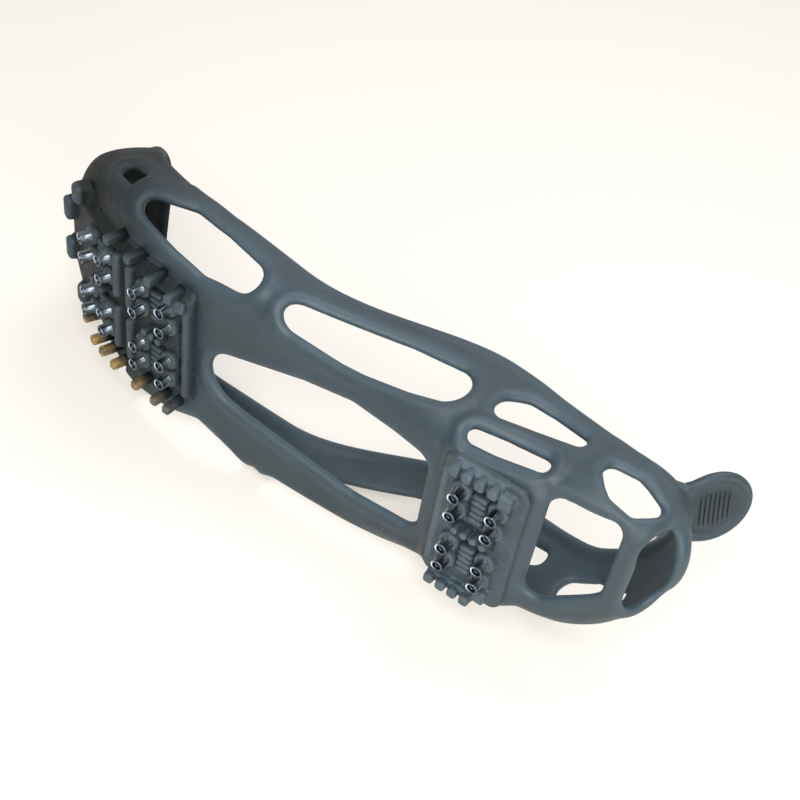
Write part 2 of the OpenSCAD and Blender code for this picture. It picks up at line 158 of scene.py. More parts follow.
# Side windows are laid out on a plane that leans out by 40 degrees, from the middle of the sole's round
# edge. Each has discs of [distance from heel, offset up the side, radius], the height of its lip, and
# the height of the broad collar round its front end.
edge_at = edge_r * (1 - math.sin(math.pi / 4))
layout_lean = math.radians(40.0)
lean_c, lean_s = math.cos(layout_lean), math.sin(layout_lean)
side_windows = [
    ([(242.0, 7.0, 3.0), (235.5, 7.6, 2.9), (234.6, 5.2, 1.9)], 0.5, 0.0),
    ([(219.0, 1.4, 4.9), (206.0, 5.1, 6.4), (176.5, 2.2, 7.6), (190.0, -1.7, 6.6)], 0.7, 1.3),
    ([(150.0, 2.3, 6.4), (122.0, 7.0, 8.2), (96.0, 13.0, 7.4)], 0.7, 0.0),
    ([(74.2, 16.4, 4.4), (70.0, 18.5, 4.4), (49.0, 19.0, 2.3)], 0.5, 0.0),
    ([(76.0, 1.7, 3.0), (53.0, 5.4, 3.0)], 1.3, 0.0),
    ([(33.0, 13.0, 2.9), (25.5, 12.7, 3.4), (16.3, 9.4, 3.5), (20.0, 5.6, 3.2), (27.0, 7.0, 3.0)], 0.4, 0.0),
]
# Windows in the sole, as discs of [distance from heel, offset from the middle line, radius] and a lip
sole_windows = [
    ([(39.3, 24.75, 5.0), (39.3, -14.75, 5.0), (24.3, 21.75, 5.5), (24.3, -4.25, 5.5)], 0.5),
    ([(95.0, 13.05, 6.5), (95.0, -13.05, 6.5), (120.67, 13.05, 12.0), (120.67, -7.45, 12.0),
      (172.5, -2.8, 12.5)], 0.6),
]
# The window round the back of the heel, on a plane that leans 45 degrees under it
back_up, back_aside, back_half, back_r, back_lip = 1.6, 1.8, 10.25, 8.5, 0.6
cuts = []
for discs, lip, collar in side_windows:
    for side in (1, -1):
        placed = []
        for s, up, r in discs:
            x = heel_x + s
            y = sway(x) + side * (half_width(np.float64(s)) - edge_at)
            z = sole_z(x) + edge_at
            placed.append((x, side * y * lean_s + z * lean_c + up, r))
        cuts.append(("side", side, placed, lip, collar))
for discs, lip in sole_windows:
    placed = [(heel_x + s, sway(heel_x + s) + y, r) for s, y, r in discs]
    cuts.append(("sole", 0, placed, lip, 0.0))
back_x = heel_x + edge_at
back_v = (back_x - (sole_z(back_x) + edge_at)) * math.sqrt(0.5) + back_up
back_discs = [(sway(back_x) + back_aside + side * back_half, back_v, back_r) for side in (1, -1)]
cuts.append(("back", 0, back_discs, back_lip, 0.0))


def skin_at(p):
    """Depth of each point under the skin's outside, its height over the sole and the rim's height."""
    x, y, z = p[:, 0], p[:, 1], p[:, 2]
    s = x - heel_x
    across = y - sway(x)
    height = z - sole_z(x)
    foot = np.clip(s, heel_round, sole_len - toe_round)
    along = s - foot
    reach = np.hypot(along, across) + 1e-9
    end_len = np.where(along < 0, heel_round, toe_round)
    end_w = np.where(along < 0, heel_w, ball_w) / 2
    round_end = reach / np.sqrt((along / end_len) ** 2 + (across / end_w) ** 2 + 1e-12)
    outline = np.where(along == 0, side_width(s), round_end)
    out_s = foot + along / reach * outline
    inset = outline - reach
    rim = rim_height(out_s)
    v = np.clip((height - edge_r) / (rim - edge_r), 0.0, lean_most)
    wall = np.minimum(inset - rim_lean(out_s) * v ** lean_power, edge_r)
    corner = edge_r - np.hypot(np.maximum(edge_r - inset, 0), np.maximum(edge_r - height, 0))
    return np.where(height < edge_r, corner, wall), height, rim


# Four directions in which a form is probed for its slope, how far off the probes lie, and the least
# squared slope that a depth is divided by
corners = np.array([[1, 1, 1], [1, -1, -1], [-1, 1, -1], [-1, -1, 1]], float)
probe, skin_flattest = 0.1, 0.25
# A window's lip is highest a little way out from the edge. The collar reaches further, fades out
# behind the window's front end, and stops short of the ball tread.
lip_at, lip_w = 3.0, 2.2
collar_w, collar_flank = 8.6, 1.4
collar_len, collar_fade = 31.0, 14.0
collar_stop, collar_stop_w = 30.0, 2.5
frame_half_len, frame_half_w, frame_r = 17.5, 32.0, 6.0
frame_rise, frame_flank, frame_lap = 2.0, 4.5, 0.5
bead_r, bead_inset, bead_blend = 2.4, 0.2, 2.0
shoulder_mid = np.array([4.6, 0.0, -6.7])[:, None]
shoulder_half = np.array([4.0, 11.8, 4.7])[:, None]
shoulder_r, shoulder_blend = 1.6, 3.0
shoulder_in, shoulder_in_blend = 0.6, 1.5
edge_fade = 2.2
# How near the skin and a window a point has to be for the window to matter to it, and where on the
# skin the side, sole and back windows are cut
skin_near, window_near, no_window = 8.0, 11.0, 40.0
side_from, sole_under, back_within = 3.0, 12.0, 26.0


def harness_form(p):
    """Distance out of the rubber in mm, and how near each point is to a rolled edge (0 to 1)."""
    x, y = p[:, 0], p[:, 1]
    depth, height, rim = skin_at(p)
    gap = np.full(x.shape, no_window)
    swell = np.zeros(x.shape)
    # A window's wall is square to the skin, so its outline is read on the outside of the skin
    near = np.flatnonzero(np.abs(depth - skin_t / 2) < skin_near)
    inward = np.stack([skin_at(p[near] + probe * c)[0] for c in corners], 1) @ corners / (4 * probe)
    outside = p[near] - (depth[near] / np.maximum((inward ** 2).sum(1), skin_flattest))[:, None] * inward
    nx, ny, nz = outside.T
    for kind, side, discs, lip, collar in cuts:
        if kind == "side":
            u, w, here = nx, side * ny * lean_s + nz * lean_c, side * (ny - sway(nx)) > side_from
        elif kind == "sole":
            u, w, here = nx, ny, nz - sole_z(nx) < sole_under
        else:
            u, w, here = ny, (nx - nz) * math.sqrt(0.5), nx - heel_x < back_within
        d = np.array(discs)
        lo = (d[:, :2] - d[:, 2:]).min(0) - window_near
        hi = (d[:, :2] + d[:, 2:]).max(0) + window_near
        here = np.flatnonzero(here & (u > lo[0]) & (u < hi[0]) & (w > lo[1]) & (w < hi[1]))
        g = window_gap(u[here], w[here], discs)
        at = near[here]
        gap[at] = np.minimum(gap[at], g)
        swell[at] = np.maximum(swell[at], lip * np.exp(-(((g - lip_at) / lip_w) ** 2)))
        front = ease((nx[here] - hi[0] + window_near + collar_len) / collar_fade)
        front = front * ease((np.abs(ny[here]) - collar_stop) / collar_stop_w)
        swell[at] = np.maximum(swell[at], collar * front * (1 - ease((g - collar_w) / collar_flank)))

    # The skin is thicker round the heel tread, where it holds the plate in a raised frame
    frame_u = np.abs(x - heel_tread_x) - frame_half_len + frame_r
    frame_v = np.abs(y) - frame_half_w + frame_r
    frame_out = np.hypot(np.maximum(frame_u, 0), np.maximum(frame_v, 0)) - frame_r
    swell = swell + frame_rise * (1 - ease((frame_out + frame_lap) / frame_flank)) * (height < edge_r)

    half = (skin_t + swell) / 2
    q = depth - (skin_t - swell) / 2
    over = np.maximum(half - gap, height - (rim - half))
    body = np.hypot(q, np.maximum(over, 0)) - half
    bead = np.hypot(q - bead_inset, height - (rim - bead_r)) - bead_r
    body = soft_min(body, bead, bead_blend)

    # Shoulders that carry the straight root of the pull tab out from the curved rim
    rel = p - hinge_at
    back = rel[:, 0] * math.cos(tab_turn) - rel[:, 1] * math.sin(tab_turn)
    side = rel[:, 0] * math.sin(tab_turn) + rel[:, 1] * math.cos(tab_turn)
    box = np.abs(np.stack([back, side, rel[:, 2]]) - shoulder_mid) - shoulder_half
    shoulder = np.linalg.norm(np.maximum(box, 0), axis=0) + np.minimum(box.max(0), 0) - shoulder_r
    shoulder = soft_max(shoulder, depth - skin_t * shoulder_in, shoulder_in_blend)
    body = soft_min(body, shoulder, shoulder_blend)
    edge = np.exp(-np.maximum(np.minimum(gap, rim - height), 0.0) / edge_fade)
    return body, edge


def wrap(form, low, high, step):
    """Closed skin of quads round the points where form is negative, evened out along the surface."""
    slab_len, rounds, settles, nudge = 4, 3, 2, 0.08
    evening, flattest, longest = 0.5, 0.05, 0.8 * step
    axes = [np.arange(a, b + step, step) for a, b in zip(low, high)]
    size = [len(a) for a in axes]
    plane = np.stack(np.meshgrid(axes[1], axes[2], indexing="ij"), -1).reshape(-1, 2)
    level = np.empty(size)
    for i in range(0, size[0], slab_len):
        xs = axes[0][i:i + slab_len]
        slab = np.column_stack([np.repeat(xs, len(plane)), np.tile(plane, (len(xs), 1))])
        level[i:i + slab_len] = form(slab).reshape(len(xs), size[1], size[2])
    quads, spots, cells = [], [], []
    for axis in range(3):
        b, c = (axis + 1) % 3, (axis + 2) % 3
        ahead = np.roll(level, -1, axis)
        at = np.argwhere((level < 0) != (ahead < 0))
        at = at[(at > 0).all(1) & (at < np.array(size) - 1).all(1)]
        f0, f1 = level[tuple(at.T)], ahead[tuple(at.T)]
        spot = np.stack([axes[d][at[:, d]] for d in range(3)], 1)
        spot[:, axis] += step * f0 / (f0 - f1)
        ring = []
        for db, dc in ((0, 0), (1, 0), (1, 1), (0, 1)):
            cell = at.copy()
            cell[:, b] -= db
            cell[:, c] -= dc
            ring.append(np.ravel_multi_index(cell.T, size))
        ring = np.stack(ring, 1)
        quads.append(np.where((f0 < 0)[:, None], ring, ring[:, ::-1]))
        spots.append(np.repeat(spot, 4, 0))
        cells.append(ring.ravel())
    quads, cells, spots = np.concatenate(quads), np.concatenate(cells), np.concatenate(spots)
    used, number = np.unique(cells, return_inverse=True)
    count = np.bincount(number)
    points = np.stack([np.bincount(number, spots[:, d]) / count for d in range(3)], 1)
    quads = np.searchsorted(used, quads)
    pairs = np.concatenate([quads[:, [k, (k + 1) % 4]] for k in range(4)])
    pairs = np.concatenate([pairs, pairs[:, ::-1]])
    links = np.bincount(pairs[:, 0])
    for turn in range(rounds):
        mean = np.stack([np.bincount(pairs[:, 0], points[pairs[:, 1], d]) / links for d in range(3)], 1)
        points = points + evening * (mean - points)
        for k in range(settles):
            f = np.stack([form(points + nudge * c) for c in corners], 1)
            rise = f @ corners / (4 * nudge)
            move = f.mean(1) / np.maximum((rise ** 2).sum(1), flattest)
            points = points - np.clip(move, -longest, longest)[:, None] * rise
    return points, quads


def shape_piece(name, points, faces, finish):
    """Mesh object from points in mm."""
    mesh = bpy.data.meshes.new(name)
    mesh.from_pydata((np.asarray(points) * mm).tolist(), [], np.asarray(faces).tolist())
    mesh.shade_smooth()
    mesh.materials.append(finish)
    piece = bpy.data.objects.new(name, mesh)
    bpy.context.scene.collection.objects.link(piece)
    return piece


def fit_piece(piece, body, nodes=()):
    """Sets a piece on its body, in place of the nodes it stands for."""
    if body:
        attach(piece, body)
    if nodes:
        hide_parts(*nodes)


def keep_value(piece, name, values):
    """Stores one number per point of the mesh for its material to read."""
    layer = piece.data.attributes.new(name, "FLOAT", "POINT")
    layer.data.foreach_set("value", np.asarray(values, np.float32))


skin_toe_ramp_from, toe_ramp_len = 185.0, 75.0


def grime_at(points, start):
    """How far each point lies along a ramp from 0 at start to 1 towards the toe."""
    return ease((np.asarray(points)[:, 0] - heel_x - start) / toe_ramp_len)


def paint(code):
    """Linear colour of an sRGB hex value."""
    parts = [int(code[k:k + 2], 16) / 255 for k in (1, 3, 5)]
    return tuple(p / 12.92 if p <= 0.04045 else ((p + 0.055) / 1.055) ** 2.4 for p in parts) + (1.0,)


def blank_finish(name):
    """A material with an empty node tree."""
    finish = bpy.data.materials.new(name)
    finish.use_nodes = True
    finish.node_tree.nodes.clear()
    return finish, finish.node_tree


def add(tree, kind, inputs=None, **settings):
    """Adds a node with its settings, and fills its inputs with values or links, by name or number."""
    node = tree.nodes.new(kind)
    for key, value in settings.items():
        setattr(node, key, value)
    for key, value in (inputs or {}).items():
        if isinstance(value, bpy.types.NodeSocket):
            tree.links.new(value, node.inputs[key])
        else:
            node.inputs[key].default_value = value
    return node


# Thermoplastic rubber from a spark-eroded mould: a bluish charcoal with a broad satin sheen, faintly
# cloudy from bloom, paler where handling has dusted the rolled edges, scuffed here and there, and
# darker and duller towards the toe, near black in patches. In a mix of colours, inputs 6 and 7 are the two
# colours.
satin_rubber, t = blank_finish("satin_thermoplastic_rubber")
place = add(t, "ShaderNodeTexCoord").outputs["Object"]
cloud_mm, scuff_mm = 38.0, 7.0
# The mould's own grit is about 0.15 mm, drawn at 0.7 mm so that it shows.
grit_mm = 0.7
cloud = add(t, "ShaderNodeTexNoise", {"Vector": place, "Scale": 1 / (cloud_mm * mm), "Detail": 4.0,
                                      "Roughness": 0.6})
scuff = add(t, "ShaderNodeTexNoise", {"Vector": place, "Scale": 1 / (scuff_mm * mm), "Detail": 6.0,
                                      "Roughness": 0.7, "Distortion": 0.6})
grit = add(t, "ShaderNodeTexNoise", {"Vector": place, "Scale": 1 / (grit_mm * mm), "Detail": 2.0})
base = add(t, "ShaderNodeValToRGB", {"Fac": cloud.outputs["Fac"]})
dark, light = base.color_ramp.elements
dark.position, dark.color = 0.3, paint("#17242b")
light.position, light.color = 0.7, paint("#22333c")
scuffs = add(t, "ShaderNodeMapRange", {"Value": scuff.outputs["Fac"], "From Min": 0.58, "From Max": 0.78,
                                       "To Min": 0.0, "To Max": 0.35})
edge = add(t, "ShaderNodeAttribute", attribute_name="edge")
worn = add(t, "ShaderNodeMath", {0: edge.outputs["Fac"], 1: scuff.outputs["Fac"]}, operation="MULTIPLY")
pale = add(t, "ShaderNodeMath", {0: worn.outputs[0], 1: scuffs.outputs[0]}, operation="ADD", use_clamp=True)
colour = add(t, "ShaderNodeMix", {0: pale.outputs[0], 6: base.outputs["Color"], 7: paint("#43555e")},
             data_type="RGBA")
# Towards the toe the rubber turns darker and duller, near black in patches.
toe_ramp = add(t, "ShaderNodeAttribute", attribute_name="toe_ramp")
toe_darkening = add(t, "ShaderNodeMath", {0: toe_ramp.outputs["Fac"], 1: cloud.outputs["Fac"]}, operation="MULTIPLY")
toe_darkening = add(t, "ShaderNodeMath", {0: toe_darkening.outputs[0], 1: 1.8}, operation="MULTIPLY", use_clamp=True)
colour = add(t, "ShaderNodeMix", {0: toe_darkening.outputs[0], 6: colour.outputs[2], 7: paint("#121312")},
             data_type="RGBA")
sheen = add(t, "ShaderNodeMapRange", {"Value": scuff.outputs["Fac"], "From Min": 0.3, "From Max": 0.75,
                                      "To Min": 0.46, "To Max": 0.64})
matt = add(t, "ShaderNodeMath", {0: toe_darkening.outputs[0], 1: 0.16, 2: sheen.outputs[0]},
           operation="MULTIPLY_ADD")
gloss = add(t, "ShaderNodeMath", {0: toe_darkening.outputs[0], 1: -0.32, 2: 0.5}, operation="MULTIPLY_ADD")
relief = add(t, "ShaderNodeBump", {"Height": grit.outputs["Fac"], "Strength": 0.12, "Distance": 0.0003})
rubber = add(t, "ShaderNodeBsdfPrincipled", {"Base Color": colour.outputs[2], "Roughness": matt.outputs[0],
                                             "Normal": relief.outputs[0], "IOR": 1.5,
                                             "Specular IOR Level": gloss.outputs[0]})
add(t, "ShaderNodeOutputMaterial", {"Surface": rubber.outputs[0]})

skin_step = 1.0
low = np.array(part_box("harness")[0]) / mm - 5
high = np.array(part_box("harness")[1]) / mm + 6
points, faces = wrap(lambda p: harness_form(p)[0], low, high, skin_step)
harness = shape_piece("harness_skin", points, faces, satin_rubber)
keep_value(harness, "edge", harness_form(points)[1])
keep_value(harness, "toe_ramp", grime_at(points, skin_toe_ramp_from))
fit_piece(harness, "harness", ["harness"])


# Heel tread
# A block of the same rubber, moulded harder, in a raised frame under the heel. Blunt pegs stand on a
# low wall along both of its side edges, short ladders of curved rungs lie between the rows of studs,
# and each stud comes out of a low boss.
heel_len, heel_wide, heel_corner_r, heel_edge = 33.0, 62.0, 5.0, 1.8
heel_plate_t, heel_floor_t = 3.4, 0.4
stud_rows = (7.3, -7.3)
stud_across = (17.9, 8.6, -8.6, -17.9)
# A size in plan is [half length, half width, corner radius]
ladder_across, ladder_size, heel_pocket = 13.25, (4.6, 8.2, 1.5), 1.1
middle_size, middle_pocket, pocket_flank = (8.5, 3.4, 1.5), 0.9, 1.0
end_bar_at, end_bar_size, end_bar_h, end_bar_flank = 14.6, (1.4, 24.0, 1.2), 0.9, 1.4
corner_back, corner_in, corner_size = 7.5, 6.0, (2.5, 3.0, 0.8)
corner_h, corner_edge = 6.8, 1.0
wall_at, wall_across, wall_size = 2.5, 28.7, (9.6, 2.1, 0.8)
wall_h, wall_edge, wall_lean, wall_lean_from = 6.5, 0.8, 0.12, 4.0
plate_sink, plate_join = 0.3, 0.8


def block(u, v, half_u, half_v, r):
    """Distance in plan from a rectangle with round corners."""
    du, dv = np.abs(u) - half_u + r, np.abs(v) - half_v + r
    return np.hypot(np.maximum(du, 0), np.maximum(dv, 0)) + np.minimum(np.maximum(du, dv), 0) - r


def slope(d, soft):
    """1 inside a shape in plan, 0 outside, with a flank that is soft mm wide."""
    return 1 - ease(d / soft + 0.5)


def ladder_pocket(u, v):
    """1 in the two shallow pockets that hold the ladders of rungs, 0 outside them."""
    return slope(block(u, np.abs(v) - ladder_across, *ladder_size), pocket_flank)


def heel_relief(u, v):
    """Height of the heel tread below the sole's skin."""
    top = heel_plate_t - heel_pocket * ladder_pocket(u, v)
    top = top - middle_pocket * slope(block(u, v, *middle_size), pocket_flank)
    end_bar = slope(block(u - end_bar_at, v, *end_bar_size), end_bar_flank)
    return np.maximum(top + end_bar_h * end_bar, heel_floor_t)


def heel_plate(p):
    """Distance out of the heel tread's plate, with its raised corners and the walls along its sides."""
    u, v, n = p[:, 0] - heel_tread_x, p[:, 1], tread_drop - p[:, 2]
    outline = block(u, v, heel_len / 2, heel_wide / 2, heel_corner_r)
    plate = soft_max(n - heel_relief(u, v), outline, heel_edge)
    corner = block(u + heel_len / 2 - corner_back, np.abs(v) - heel_wide / 2 + corner_in, *corner_size)
    plate = soft_min(plate, soft_max(n - corner_h, corner, corner_edge), plate_join)
    wall = block(u - wall_at, np.abs(v) - wall_across + wall_lean * (n - wall_lean_from), *wall_size)
    plate = soft_min(plate, soft_max(n - wall_h, wall, wall_edge), plate_join)
    return np.maximum(plate, -n - plate_sink)


# Carbon-black rubber, moulded harder than the harness: a flatter charcoal with little sheen, speckled
# with grit that has worked into it, rubbed paler on everything that meets the ground, with painted shade
# that turns the hollows under the toes near black, and tinted ochre on the ends of the pegs of the outer
# edge.
tread_rubber, t = blank_finish("matt_tread_rubber")
place = add(t, "ShaderNodeTexCoord").outputs["Object"]
cloud_mm, speck_mm = 16.0, 2.2
# The rubber's own grain is about 0.2 mm, drawn at 0.6 mm so that it shows.
grain_mm = 0.6
cloud = add(t, "ShaderNodeTexNoise", {"Vector": place, "Scale": 1 / (cloud_mm * mm), "Detail": 5.0,
                                      "Roughness": 0.65})
speck = add(t, "ShaderNodeTexNoise", {"Vector": place, "Scale": 1 / (speck_mm * mm), "Detail": 3.0,
                                      "Roughness": 0.6})
grain = add(t, "ShaderNodeTexNoise", {"Vector": place, "Scale": 1 / (grain_mm * mm), "Detail": 2.0})
base = add(t, "ShaderNodeValToRGB", {"Fac": cloud.outputs["Fac"]})
dark, light = base.color_ramp.elements
dark.position, dark.color = 0.32, paint("#19252b")
light.position, light.color = 0.7, paint("#26343b")
dust = add(t, "ShaderNodeMapRange", {"Value": speck.outputs["Fac"], "From Min": 0.52, "From Max": 0.75,
                                     "To Min": 0.0, "To Max": 0.55})
worn = add(t, "ShaderNodeAttribute", attribute_name="worn")
rubbed = add(t, "ShaderNodeMath", {0: worn.outputs["Fac"], 1: cloud.outputs["Fac"]}, operation="MULTIPLY")
pale = add(t, "ShaderNodeMath", {0: dust.outputs[0], 1: rubbed.outputs[0]}, operation="ADD", use_clamp=True)
colour = add(t, "ShaderNodeMix", {0: pale.outputs[0], 6: base.outputs["Color"], 7: paint("#4a5a62")},
             data_type="RGBA")
toe_ramp = add(t, "ShaderNodeAttribute", attribute_name="toe_ramp")
# Painted shade: the hollows, where the tread is least worn, go near black towards the toe.
unworn = add(t, "ShaderNodeMath", {0: worn.outputs["Fac"], 1: -0.55, 2: 0.85}, operation="MULTIPLY_ADD")
painted_hollow_shade = add(t, "ShaderNodeMath", {0: toe_ramp.outputs["Fac"], 1: unworn.outputs[0]},
            operation="MULTIPLY", use_clamp=True)
colour = add(t, "ShaderNodeMix", {0: painted_hollow_shade.outputs[0], 6: colour.outputs[2], 7: paint("#0e100f")},
             data_type="RGBA")
# Ochre tint on the ends of the outer pegs, in patches.
ochre_tint = add(t, "ShaderNodeAttribute", attribute_name="ochre_tint")
patchy = add(t, "ShaderNodeMapRange", {"Value": speck.outputs["Fac"], "From Min": 0.38, "From Max": 0.58,
                                       "To Min": 0.3, "To Max": 1.0})
ochre_patch = add(t, "ShaderNodeMath", {0: ochre_tint.outputs["Fac"], 1: patchy.outputs[0]}, operation="MULTIPLY")
colour = add(t, "ShaderNodeMix", {0: ochre_patch.outputs[0], 6: colour.outputs[2], 7: paint("#ab8a4c")},
             data_type="RGBA")
dull = add(t, "ShaderNodeMapRange", {"Value": speck.outputs["Fac"], "From Min": 0.3, "From Max": 0.75,
                                     "To Min": 0.52, "To Max": 0.72})
relief = add(t, "ShaderNodeBump", {"Height": grain.outputs["Fac"], "Strength": 0.25, "Distance": 0.0003})
gloss = add(t, "ShaderNodeMath", {0: painted_hollow_shade.outputs[0], 1: -0.35, 2: 0.5}, operation="MULTIPLY_ADD")
rubber = add(t, "ShaderNodeBsdfPrincipled", {"Base Color": colour.outputs[2], "Roughness": dull.outputs[0],
                                             "Normal": relief.outputs[0], "IOR": 1.5,
                                             "Specular IOR Level": gloss.outputs[0]})
add(t, "ShaderNodeOutputMaterial", {"Surface": rubber.outputs[0]})

tread_toe_ramp_from = 160.0
heel_step, heel_worn_from, heel_worn_len = 0.7, 2.6, 1.6
low = np.array([heel_tread_x - heel_len / 2, -heel_wide / 2, tread_drop - 8]) - 2
high = np.array([heel_tread_x + heel_len / 2, heel_wide / 2, tread_drop]) + 2
points, faces = wrap(heel_plate, low, high, heel_step)
heel_tread = shape_piece("heel_tread_plate", points, faces, tread_rubber)
keep_value(heel_tread, "worn", ease((tread_drop - points[:, 2] - heel_worn_from) / heel_worn_len))
keep_value(heel_tread, "toe_ramp", grime_at(points, tread_toe_ramp_from))
fit_piece(heel_tread, "harness", ["heel_tread"])


def turned(name, outline, around, power=2.0, bow=0.0):
    """Pattern turned from [radius, height] pairs round Z, squarer as power grows and bent by bow."""
    a = np.arange(around) * 2 * math.pi / around
    c, s = np.cos(a), np.sin(a)
    squared = (np.abs(c) ** power + np.abs(s) ** power) ** (-1 / power)
    rings = [np.column_stack([r * c * squared, r * s * squared, np.full(around, z)]) for r, z in outline]
    verts = np.concatenate(rings + [[[0, 0, outline[0][1]], [0, 0, outline[-1][1]]]])
    bow_mean = 0.12
    verts[:, 1] += bow * (verts[:, 0] ** 2 - bow_mean)
    last, faces = len(outline) - 1, []
    for k in range(around):
        n = (k + 1) % around
        for r in range(last):
            low_ring, high_ring = r * around, (r + 1) * around
            faces.append((low_ring + k, low_ring + n, high_ring + n, high_ring + k))
        faces += [(n, k, len(verts) - 2), (last * around + k, last * around + n, len(verts) - 1)]
    mesh = bpy.data.meshes.new(name)
    mesh.from_pydata(verts.tolist(), [], faces)
    mesh.shade_smooth()
    pattern = bpy.data.objects.new(name, mesh)
    keep_value(pattern, "worn", verts[:, 2] ** 4)
    return pattern


# Copies of one pattern on a set of spots, each turned and stretched as its spot says
copies = bpy.data.node_groups.new("copies_on_spots", "GeometryNodeTree")
sockets = {}
for label, kind in (("Spots", "Geometry"), ("Pattern", "Object"), ("Length", "Float"), ("Width", "Float"),
                    ("Height", "Float"), ("Finish", "Material")):
    socket = copies.interface.new_socket(label, in_out="INPUT", socket_type="NodeSocket" + kind)
    sockets[label] = socket.identifier
copies.interface.new_socket("Copies", in_out="OUTPUT", socket_type="NodeSocketGeometry")
given = add(copies, "NodeGroupInput").outputs
shape = add(copies, "GeometryNodeObjectInfo", {"Object": given["Pattern"]})
angle = add(copies, "GeometryNodeInputNamedAttribute", {"Name": "turn"}, data_type="FLOAT_VECTOR")
angle = add(copies, "FunctionNodeEulerToRotation", {0: angle.outputs["Attribute"]})
reach = add(copies, "GeometryNodeInputNamedAttribute", {"Name": "stretch"}, data_type="FLOAT")
reach = add(copies, "ShaderNodeMath", {0: reach.outputs["Attribute"], 1: given["Length"]},
            operation="MULTIPLY")
sizes = add(copies, "ShaderNodeCombineXYZ", {0: reach.outputs[0], 1: given["Width"], 2: given["Height"]})
laid = add(copies, "GeometryNodeInstanceOnPoints", {
    "Points": given["Spots"], "Instance": shape.outputs["Geometry"],
    "Rotation": angle.outputs[0], "Scale": sizes.outputs[0],
})
real = add(copies, "GeometryNodeRealizeInstances", {0: laid.outputs[0]})
done = add(copies, "GeometryNodeSetMaterial", {"Geometry": real.outputs[0], "Material": given["Finish"]})
add(copies, "NodeGroupOutput", {0: done.outputs[0]})


def lay_copies(name, pattern, spots, size, finish, body, nodes=()):
    """One mesh of copies of [length, width, height] at spots of (place in mm, turn, stretch)."""
    piece = shape_piece(name, [s[0] for s in spots], [], finish)
    turns = piece.data.attributes.new("turn", "FLOAT_VECTOR", "POINT")
    turns.data.foreach_set("vector", np.array([s[1] for s in spots], np.float32).ravel())
    keep_value(piece, "stretch", [s[2] for s in spots])
    keep_value(piece, "toe_ramp", grime_at([s[0] for s in spots], tread_toe_ramp_from))
    bpy.context.scene.collection.objects.link(pattern)
    grow = piece.modifiers.new("copies", "NODES")
    grow.node_group = copies
    grow[sockets["Pattern"]] = pattern
    for label, value in zip(("Length", "Width", "Height"), size):
        grow[sockets[label]] = value * mm
    grow[sockets["Finish"]] = finish
    solid = bpy.data.meshes.new_from_object(piece.evaluated_get(bpy.context.evaluated_depsgraph_get()))
    piece.modifiers.clear()
    piece.data = solid
    bpy.data.objects.remove(pattern)
    fit_piece(piece, body, nodes)
    return piece


def under_heel(u, v):
    """A spot on the skin at the heel tread, pointing down."""
    return (heel_tread_x + u, v, tread_drop), (math.pi, 0.0, 0.0), 1.0


# Outlines are [radius, height] in shares of the finished width and height
peg_outline = [
    (0.50, 0.0), (0.50, 0.3), (0.485, 0.88), (0.47, 0.94), (0.44, 0.975), (0.40, 0.993), (0.34, 1.0),
]
edge_peg_pitch, edge_peg_across, edge_peg_size = 5.0, 28.6, (3.9, 4.4, 9.0)
spots = [under_heel(k * edge_peg_pitch, side * edge_peg_across) for k in (-1, 0, 1, 2) for side in (1, -1)]
lay_copies("heel_edge_pegs", turned("peg", peg_outline, 24, 4.0), spots, edge_peg_size,
           tread_rubber, "harness")
middle_peg_pitch, middle_peg_size = 3.8, (3.0, 3.2, 7.0)
spots = [under_heel(k * middle_peg_pitch, 0.0) for k in (-1.5, -0.5, 0.5, 1.5)]
lay_copies("heel_middle_pegs", turned("peg", peg_outline, 16), spots, middle_peg_size,
           tread_rubber, "harness")
rung_outline = [(0.50, 0.0), (0.50, 0.6), (0.46, 0.88), (0.36, 1.0)]
rung_pitch, rung_bow, rung_size = 2.8, 0.55, (6.2, 2.1, 5.2)
rung_across = [side * ladder_across + k * rung_pitch for side in (1, -1) for k in (-2, -1, 0, 1, 2)]
spots = [under_heel(0.0, v) for v in rung_across]
lay_copies("heel_rungs", turned("rung", rung_outline, 24, 4.0, rung_bow), spots, rung_size,
           tread_rubber, "harness")
boss_outline = [(0.50, 0.0), (0.50, 0.5), (0.46, 0.86), (0.42, 0.97), (0.36, 1.0)]
boss_size = (8.4, 8.4, 5.4)
spots = [under_heel(u, v) for u in stud_rows for v in stud_across]
lay_copies("heel_stud_bosses", turned("boss", boss_outline, 28), spots, boss_size,
           tread_rubber, "harness")


# Ball and toe treads
# Two blocks of the heel tread's hard rubber that follow the upward roll under the toes, with a groove
# between them that lets the sole flex. Rounded bars line the groove, long pegs reach out along the
# sides, and a smooth lip closes the back.
roll_z = tread_drop + toe_spring_r
tip_r = toe_spring_r + tread_drop
ball_mid, toe_mid = 13.5, 50.5
half_fore, fore_wide, fore_corner_r, fore_edge = 17.3, 57.0, 3.0, 1.6
fore_plate_t, fore_pocket = 2.9, 0.9
fore_edge_t, fore_edge_at, fore_edge_flank = 0.3, 25.0, 5.0
bar_across, bar_size, bar_h, bar_flank = 13.0, (1.9, 10.6, 1.9), 2.9, 1.7
ball_bar, toe_bar = 15.2, -12.9
lip_back, lip_aside, lip_h, lip_flank = 15.2, 2.3, 1.5, 2.6
lip_half_len, lip_half_w, lip_splay, lip_r = 1.9, 22.0, 0.5, 1.8
groove_back, groove_size, groove_h, groove_flank = 12.0, (1.1, 21.0, 1.0), 1.6, 1.6
wedge_back, wedge_across, wedge_size, wedge_edge = 11.3, 21.9, (4.0, 2.2, 0.6), 0.7
wedge_h, wedge_h_at, wedge_slope = 5.9, 22.0, 0.3
toe_aside, tongue_mid, tongue_half_len, tongue_half_w, tongue_r = 3.0, 7.0, 11.0, 29.0, 4.0
tongue_taper, taper_from, taper_len, tongue_join = 14.0, 6.0, 12.0, 3.0
